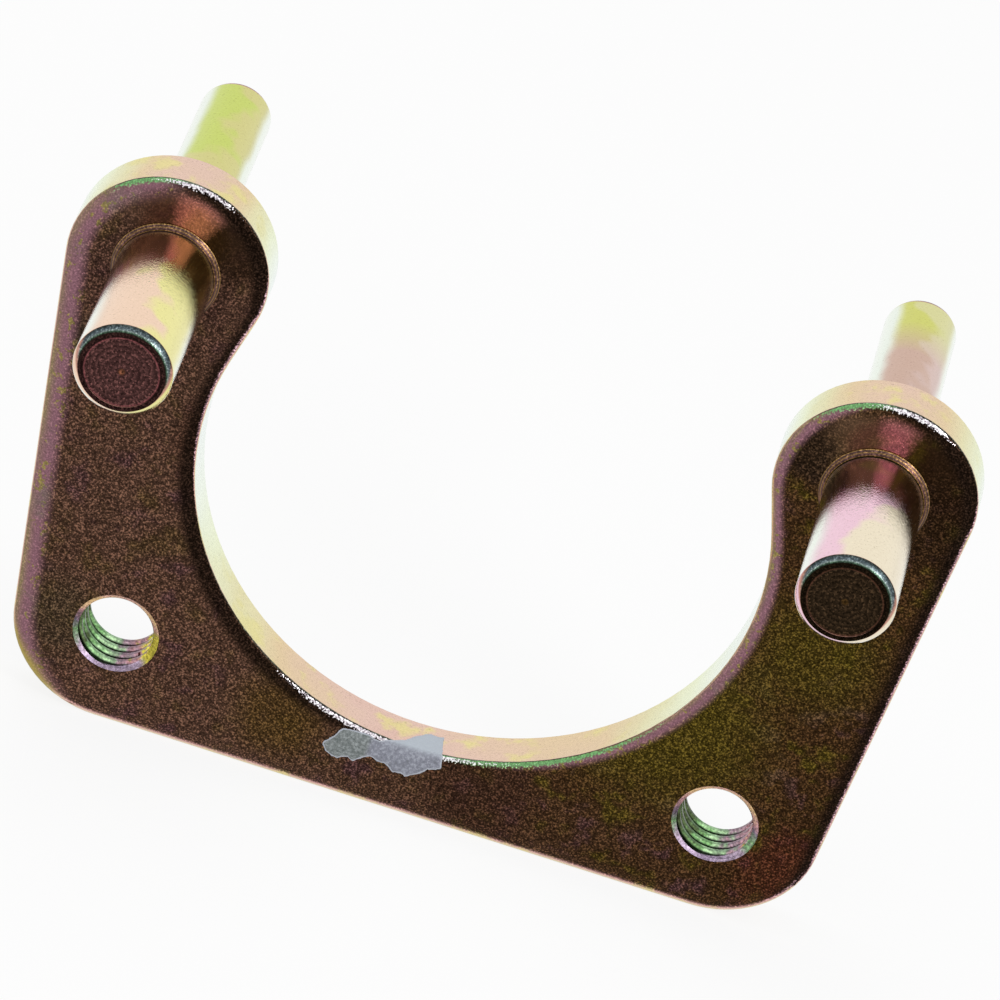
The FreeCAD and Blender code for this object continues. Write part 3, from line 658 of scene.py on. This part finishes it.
class BRACKET_OT_plate(bpy.types.Operator):
    """Finish the blanked plate: its rolled front edge, broken back edge, pin bores and threads"""
    bl_idname = "bracket.plate"
    bl_label = "Plate"

    def execute(self, context):
        sizes, colours = context.scene.bracket_sizes, context.scene.bracket_colours
        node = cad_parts[PLATE_NODE]
        plate = bpy.data.objects.new("tapped_plate", node.data.copy())
        context.scene.collection.objects.link(plate)
        self.round_edges(plate, sizes)
        for side in (-1, 1):
            self.bore_for_pin(plate, side, sizes)
            self.tap_hole(plate, side, sizes)
        edit(plate)
        bpy.ops.mesh.select_all(action="SELECT")
        bpy.ops.mesh.remove_doubles(threshold=WELD)
        leave_edit()
        finish_shading(plate)
        dress(plate, plated_plate(sizes, colours), plated_thread(sizes))
        self.show_threads(plate, sizes)
        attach(plate, "root")
        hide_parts(PLATE_NODE)
        return {"FINISHED"}

    def round_edges(self, plate, sizes):
        """Keeps the blank's side walls and fills both faces again, each with its own edge."""
        front, back = PLATE_LOW.y, PLATE_HIGH.y
        slack = 5e-6
        edit(plate)
        bpy.ops.mesh.select_all(action="SELECT")
        bpy.ops.mesh.remove_doubles(threshold=WELD)
        half_holes, half_pins = sizes.hole_spacing / 2, sizes.pin_spacing / 2
        clear_of_holes = 7 * MM

        def in_a_hole(point):
            return min(
                math.hypot(abs(point.x) - half_holes, point.z),
                math.hypot(abs(point.x) - half_pins, point.z - sizes.pin_height),
            ) < clear_of_holes

        wall_start = front + sizes.edge_roll - slack
        wall_end = back - sizes.back_break + slack

        def not_wall(face):
            along = [v.co.y for v in face.verts]
            outside = min(along) < wall_start or max(along) > wall_end
            return outside or in_a_hole(face.calc_center_median())

        pick(plate, "faces", not_wall)
        bpy.ops.mesh.delete(type="FACE")
        middle = (front + back) / 2

        # Front: the wall's edge goes down as deep as the die pulled it, then rises to the face
        pick(plate, "edges", lambda e: e.is_boundary and e.verts[0].co.y < middle)
        bpy.ops.transform.translate(value=(0, sizes.roll_depth - sizes.edge_roll, 0))
        bpy.ops.mesh.edge_face_add()
        for inward, outward in self.roll_steps(sizes):
            bpy.ops.mesh.inset(thickness=inward, depth=outward, use_even_offset=True)

        # Back: only a narrow break
        pick(plate, "edges", lambda e: e.is_boundary and e.verts[0].co.y > middle)
        bpy.ops.mesh.edge_face_add()
        bpy.ops.mesh.inset(
            thickness=sizes.back_break, depth=sizes.back_break, use_even_offset=True)
        bpy.ops.mesh.select_all(action="SELECT")
        bpy.ops.mesh.normals_make_consistent(inside=False)
        leave_edit()

    def roll_steps(self, sizes):
        """Insets along a quarter ellipse, wall to flat face: how far in and how far out."""
        angles = [math.radians(a) for a in (
            0, 3, 6, 10, 14, 19, 25, 32, 40, 48, 56, 64, 72, 79, 85, 90)]
        return [(sizes.roll_width * (math.cos(a) - math.cos(b)),
                 sizes.roll_depth * (math.sin(b) - math.sin(a)))
                for a, b in zip(angles, angles[1:])]

    def bore_for_pin(self, plate, side, sizes):
        x, z = side * sizes.pin_spacing / 2, sizes.pin_height
        over = 1 * MM
        radius = sizes.shank / 2
        cutter = turned("pin_bore", [
            (0, PLATE_LOW.y - over), (radius, PLATE_LOW.y - over),
            (radius, PLATE_HIGH.y + over), (0, PLATE_HIGH.y + over)], x, z, 64)
        self.cut(plate, cutter)

    def tap_hole(self, plate, side, sizes):
        """The tap drill's bore with chamfered mouths, then the thread's V groove."""
        x = side * sizes.hole_spacing / 2
        drill, mouth = sizes.tap_drill / 2, sizes.mouth / 2
        over = 0.5 * MM
        chamfer = mouth - drill
        back_chamfer = sizes.back_mouth / 2 - drill
        bore = turned("tap_drill", [
            (0, PLATE_LOW.y - over), (mouth + over, PLATE_LOW.y - over),
            (drill, PLATE_LOW.y + chamfer), (drill, PLATE_HIGH.y - back_chamfer),
            (drill + back_chamfer + over, PLATE_HIGH.y + over), (0, PLATE_HIGH.y + over)],
            x, 0.0, 72)
        self.cut(plate, bore)
        self.cut(plate, self.thread_tool(x, sizes))

    def thread_tool(self, x, sizes):
        """A coil with the thread's 60 degree V section, run through the plate."""
        crest = sizes.thread_major / 2
        root_flat = sizes.thread_pitch / 16
        under_the_drill = 0.3 * MM
        inner = sizes.tap_drill / 2 - under_the_drill
        wide = root_flat + (crest - inner) * math.tan(math.radians(30))
        turns = 6
        start = -(turns / 2) * sizes.thread_pitch
        deselect()
        bpy.ops.mesh.primitive_plane_add(size=1.0)
        tool = bpy.context.object
        tool.name = "thread_tool"
        corners = [(inner, -wide), (inner, wide), (crest, root_flat), (crest, -root_flat)]
        loop = [tool.data.polygons[0].vertices[i] for i in range(4)]
        for index, (radius, along) in zip(loop, corners):
            tool.data.vertices[index].co = Vector((radius, start + along, 0))
        edit(tool)
        bpy.ops.mesh.select_all(action="SELECT")
        bpy.ops.mesh.delete(type="ONLY_FACE")
        leave_edit()
        apply(tool, "SCREW", axis="Y", angle=2 * math.pi, screw_offset=sizes.thread_pitch,
              iterations=turns, steps=72, render_steps=72, use_merge_vertices=False)
        edit(tool)
        pick(tool, "edges", lambda e: e.is_boundary)
        bpy.ops.mesh.fill_holes(sides=4)
        bpy.ops.mesh.select_all(action="SELECT")
        bpy.ops.mesh.normals_make_consistent(inside=False)
        bpy.ops.transform.translate(value=(x, 0, 0))
        leave_edit()
        return tool

    def show_threads(self, plate, sizes):
        """Gives the tapped holes' walls the finish of a cut thread."""
        reach = sizes.mouth / 2 + 0.05 * MM
        half = sizes.hole_spacing / 2

        def in_tapped_hole(face):
            point = face.calc_center_median()
            off = math.hypot(abs(point.x) - half, point.z)
            return off < reach and abs(face.normal.y) < 0.99

        edit(plate)
        pick(plate, "faces", in_tapped_hole)
        plate.active_material_index = 1
        bpy.ops.object.material_slot_assign()
        leave_edit()

    def cut(self, plate, cutter):
        before = len(plate.data.polygons)
        apply(plate, "BOOLEAN", object=cutter, operation="DIFFERENCE", solver="EXACT")
        bpy.data.objects.remove(cutter)
        if len(plate.data.polygons) == before:
            raise RuntimeError("a cut left the plate as it was")


class BRACKET_OT_guide_pins(bpy.types.Operator):
    """Turn the two guide pins, with their end rings, relief groove, collar and rounded back end"""
    bl_idname = "bracket.guide_pins"
    bl_label = "Guide pins"

    def execute(self, context):
        sizes, colours = context.scene.bracket_sizes, context.scene.bracket_colours
        plating = plated_pins(sizes, colours)
        for side, node in PIN_NODES.items():
            pin = turned("turned_pin_" + ("left" if side < 0 else "right"), self.stations(sizes),
                         side * sizes.pin_spacing / 2, sizes.pin_height, 96)
            finish_shading(pin, 25.0)
            dress(pin, plating)
            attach(pin, "root")
            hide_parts(node)
        return {"FINISHED"}

    def stations(self, sizes):
        """Radius and place along Y of each ring that the lathe leaves, tip to tail."""
        tip, tail = PIN_LOW.y, PIN_HIGH.y
        front, back = PLATE_LOW.y, PLATE_HIGH.y
        radius = sizes.front_pin / 2
        shank, rear = sizes.shank / 2, sizes.back_pin / 2
        made = [(0.0, tip + 0.10 * MM)]
        # Turning rings on the end face, a dimple at its centre and a raised ring near its edge
        for ring_mm, sunk_mm in (
                (0.25, 0.10), (0.45, 0.05), (0.95, 0.035), (1.10, 0.055), (1.6, 0.04),
                (1.75, 0.055), (2.3, 0.04), (2.45, 0.055), (3.0, 0.04), (3.15, 0.055),
                (3.7, 0.04), (4.05, 0.05), (4.18, 0.005), (4.28, 0.005), (4.40, 0.05),
                (4.75, 0.0), (4.93, 0.0), (4.99, 0.03)):
            made.append((ring_mm * MM, tip + sunk_mm * MM))
        # The chamfer's end and the straight side
        made += [(radius - 0.05 * MM, tip + 0.63 * MM), (radius, tip + 0.74 * MM),
                 (radius, tip + 8 * MM), (radius, tip + 16 * MM)]
        # The relief groove and the tapered collar: how far out from the side and how far before
        # the plate
        for out_mm, off_mm in (
                (0.0, 0.93), (-0.15, 0.80), (-0.15, 0.70), (0.0, 0.60), (0.06, 0.60),
                (0.58, 0.22), (0.65, 0.14), (0.65, 0.0)):
            made.append((radius + out_mm * MM, front - off_mm * MM))
        # The shank in the plate, then the back pin
        made += [(shank, front), (shank, back), (rear, back),
                 (rear, back + 10 * MM), (rear, back + 22 * MM)]
        rounding = 1.2 * MM
        for i in range(8):
            a = math.radians(90 * i / 7)
            made.append((rear - rounding + rounding * math.cos(a),
                         tail - rounding + rounding * math.sin(a)))
        dished = tail - 0.02 * MM
        made += [(2.2 * MM, tail), (2.1 * MM, dished), (1.0 * MM, dished), (0.0, dished)]
        return made


# The torn scrap's outline, across and up in millimetres, as it lies before the plate's face
SCRAP_OUTLINE = (
    (-9.74, -5.65), (-9.51, -5.19), (-9.07, -4.74), (-8.61, -4.08), (-8.3, -3.39), (-7.93, -2.93),
    (-7.16, -2.72), (-6.47, -2.7), (-5.78, -2.69), (-5.17, -2.67), (-4.82, -2.66), (-4.21, -2.91),
    (-3.48, -3.05), (-2.63, -2.6), (-1.84, -2.43), (-0.83, -2.05), (-0.14, -1.55), (0.54, -0.96),
    (1.15, -0.65), (1.75, -0.3), (2.17, -0.3), (2.86, -0.31), (3.49, -0.18), (3.67, -1.33),
    (3.93, -2.54), (4.14, -4.1), (3.65, -4.45), (2.75, -4.71), (2.39, -5.17), (1.77, -5.73),
    (1.06, -6.21), (0.4, -6.58), (-0.16, -6.3), (-1.07, -6.53), (-1.49, -6.23), (-1.86, -5.87),
    (-2.32, -5.72), (-2.78, -5.81), (-3.38, -5.63), (-3.91, -5.42), (-4.24, -5.49), (-4.84, -5.85),
    (-5.29, -6.27), (-5.67, -6.69), (-6.16, -6.67), (-6.5, -6.39), (-7.14, -6.63), (-7.6, -6.97),
    (-8.02, -6.97), (-8.62, -6.78), (-9.18, -6.5), (-9.52, -5.97),
)


class BRACKET_OT_paper_scrap(bpy.types.Operator):
    """Stick the torn scrap of paper over the cut-out's lower edge"""
    bl_idname = "bracket.paper_scrap"
    bl_label = "Paper scrap"

    def execute(self, context):
        plate = bpy.data.objects["tapped_plate"]
        deselect()
        bpy.ops.mesh.primitive_circle_add(
            vertices=len(SCRAP_OUTLINE), radius=1.0, fill_type="NGON")
        scrap = bpy.context.object
        scrap.name = scrap.data.name = "paper_scrap"
        face_y = PLATE_LOW.y
        for vertex, (across, up) in zip(scrap.data.vertices, SCRAP_OUTLINE):
            vertex.co = Vector((across * MM, face_y, up * MM))
        dress(scrap, torn_paper(context.scene.bracket_colours), torn_edge())
        # A narrow band along the tear takes the paler finish
        edit(scrap)
        bpy.ops.mesh.select_mode(type="FACE")
        bpy.ops.mesh.select_all(action="SELECT")
        bpy.ops.mesh.inset(thickness=0.16 * MM, use_even_offset=False)
        bpy.ops.mesh.select_all(action="INVERT")
        scrap.active_material_index = 1
        bpy.ops.object.material_slot_assign()
        # Cut it into small cells, so that it can follow the rolled edge
        cell = 0.3 * MM
        across = [p[0] * MM for p in SCRAP_OUTLINE]
        upward = [p[1] * MM for p in SCRAP_OUTLINE]
        for values, normal in ((across, (1, 0, 0)), (upward, (0, 0, 1))):
            place = min(values) + cell
            while place < max(values):
                bpy.ops.mesh.select_all(action="SELECT")
                bpy.ops.mesh.bisect(
                    plane_co=tuple(place * n for n in normal), plane_no=normal)
                place += cell
        bpy.ops.mesh.select_all(action="SELECT")
        bpy.ops.mesh.normals_make_consistent(inside=False)
        # The tear itself is ragged
        pick(scrap, "edges", lambda e: e.is_boundary)
        bpy.ops.transform.vertex_random(offset=0.07 * MM, uniform=0.5, seed=4)
        leave_edit()
        # Turn its own Z axis to the way that it was pressed on, and press it on along that
        press = Vector((0.0197, -0.8574, 0.5143)).normalized()
        turn = press.to_track_quat("Z", "Y").to_matrix().to_4x4()
        scrap.data.transform(turn.inverted())
        scrap.matrix_world = turn
        bpy.context.view_layer.update()
        apply(scrap, "SHRINKWRAP", target=plate, wrap_method="PROJECT", use_project_z=True,
              use_negative_direction=True, use_positive_direction=True, offset=0.03 * MM)
        make_active(scrap)
        bpy.ops.object.transform_apply(location=True, rotation=True, scale=True)
        apply(scrap, "SOLIDIFY", thickness=0.06 * MM, offset=1.0)
        finish_shading(scrap, 60.0)
        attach(scrap, "root")
        return {"FINISHED"}


class BRACKET_OT_stage(bpy.types.Operator):
    """Set the plain pale floor, the soft lamps and the camera"""
    bl_idname = "bracket.stage"
    bl_label = "Stage"

    def execute(self, context):
        self.floor()
        self.world(context)
        self.lamps(context)
        self.camera(context)
        context.scene.view_settings.view_transform = "Standard"
        return {"FINISHED"}

    def floor(self):
        deselect()
        gap = 0.05 * MM
        under = CAD_BOX[0][2] - gap
        bpy.ops.mesh.primitive_plane_add(size=8.0, location=(0, 0, under))
        floor = bpy.context.object
        floor.name = "floor"
        bpy.ops.object.transform_apply(location=True, rotation=True, scale=True)
        material, tree = new_material("Pale floor")
        paint = add(tree, "ShaderNodeBsdfDiffuse", {"Color": linear("#f2f2f2")})
        glow = add(tree, "ShaderNodeEmission", {"Color": (1, 1, 1, 1), "Strength": 1.0})
        _, seen = seen_directly(tree)
        share = add(tree, MATH, {0: seen, 1: 0.86}, operation="MULTIPLY")
        both = add(tree, "ShaderNodeMixShader", {0: share, 1: paint, 2: glow})
        add(tree, "ShaderNodeOutputMaterial", {"Surface": both})
        dress(floor, material)

    def world(self, context):
        world = bpy.data.worlds.new("Studio")
        context.scene.world = world
        world.use_nodes = True
        tree = world.node_tree
        tree.nodes.clear()
        path, seen = seen_directly(tree)
        seen = add(tree, MATH, {0: seen, 1: path.outputs["Is Transmission Ray"]},
                   operation="MAXIMUM")
        fill = add(tree, "ShaderNodeBackground", {"Color": (1, 1, 1, 1), "Strength": 0.62})
        white = add(tree, "ShaderNodeBackground", {"Color": (1, 1, 1, 1), "Strength": 1.0})
        both = add(tree, "ShaderNodeMixShader", {0: seen, 1: fill, 2: white})
        add(tree, "ShaderNodeOutputWorld", {"Surface": both})

    def lamps(self, context):
        aim = Vector((0, 0, 0.025))
        for name, towards, distance, size, watts in (
                ("Key lamp", (0.62, -0.55, 0.56), 0.7, 0.2, 1.3),
                ("Top lamp", (-0.25, 0.1, 0.96), 0.9, 0.6, 2.2)):
            data = bpy.data.lights.new(name, "AREA")
            data.shape = "DISK"
            data.size = size
            data.energy = watts
            lamp = bpy.data.objects.new(name, data)
            context.scene.collection.objects.link(lamp)
            direction = Vector(towards).normalized()
            lamp.location = aim + direction * distance
            lamp.rotation_euler = direction.to_track_quat("Z", "Y").to_euler()

    def camera(self, context):
        """The photo's own viewpoint, solved from the plate's outline, holes and pins."""
        data = bpy.data.cameras.new("Camera")
        camera = bpy.data.objects.new("Camera", data)
        context.scene.collection.objects.link(camera)
        right = Vector((0.95285758, 0.17192368, 0.25000936))
        down = Vector((0.30277527, -0.4851677, -0.82032886))
        ahead = Vector((-0.01973749, 0.85735323, -0.51434996))
        turn = Matrix((right, -down, -ahead)).transposed().to_4x4()
        camera.matrix_world = Matrix.Translation((0.020859, -0.837250, 0.532919)) @ turn
        data.sensor_width = 36.0
        data.lens = 311.2307
        data.clip_start, data.clip_end = 0.01, 50.0
        context.scene.camera = camera


class BRACKET_PT_panel(bpy.types.Panel):
    """Lists the bracket's sizes, colours and steps"""
    bl_idname = "BRACKET_PT_panel"
    bl_label = "Caliper bracket"
    bl_space_type = "VIEW_3D"
    bl_region_type = "UI"
    bl_category = "Bracket"

    def draw(self, context):
        for group in (context.scene.bracket_sizes, context.scene.bracket_colours):
            box = self.layout.box()
            for name in group.__annotations__:
                box.prop(group, name)
        for step in STEPS:
            self.layout.operator(step.bl_idname)


STEPS = (BRACKET_OT_plate, BRACKET_OT_guide_pins, BRACKET_OT_paper_scrap, BRACKET_OT_stage)
CLASSES = (BracketSizes, BracketColours, *STEPS, BRACKET_PT_panel)


def register():
    for made in CLASSES:
        bpy.utils.register_class(made)
    bpy.types.Scene.bracket_sizes = bpy.props.PointerProperty(type=BracketSizes)
    bpy.types.Scene.bracket_colours = bpy.props.PointerProperty(type=BracketColours)


def unregister():
    del bpy.types.Scene.bracket_colours
    del bpy.types.Scene.bracket_sizes
    for made in reversed(CLASSES):
        bpy.utils.unregister_class(made)


def main():
    register()
    bpy.ops.bracket.plate()
    bpy.ops.bracket.guide_pins()
    bpy.ops.bracket.paper_scrap()
    bpy.ops.bracket.stage()
    bpy.context.view_layer.update()


if __name__ == "__main__":
    main()
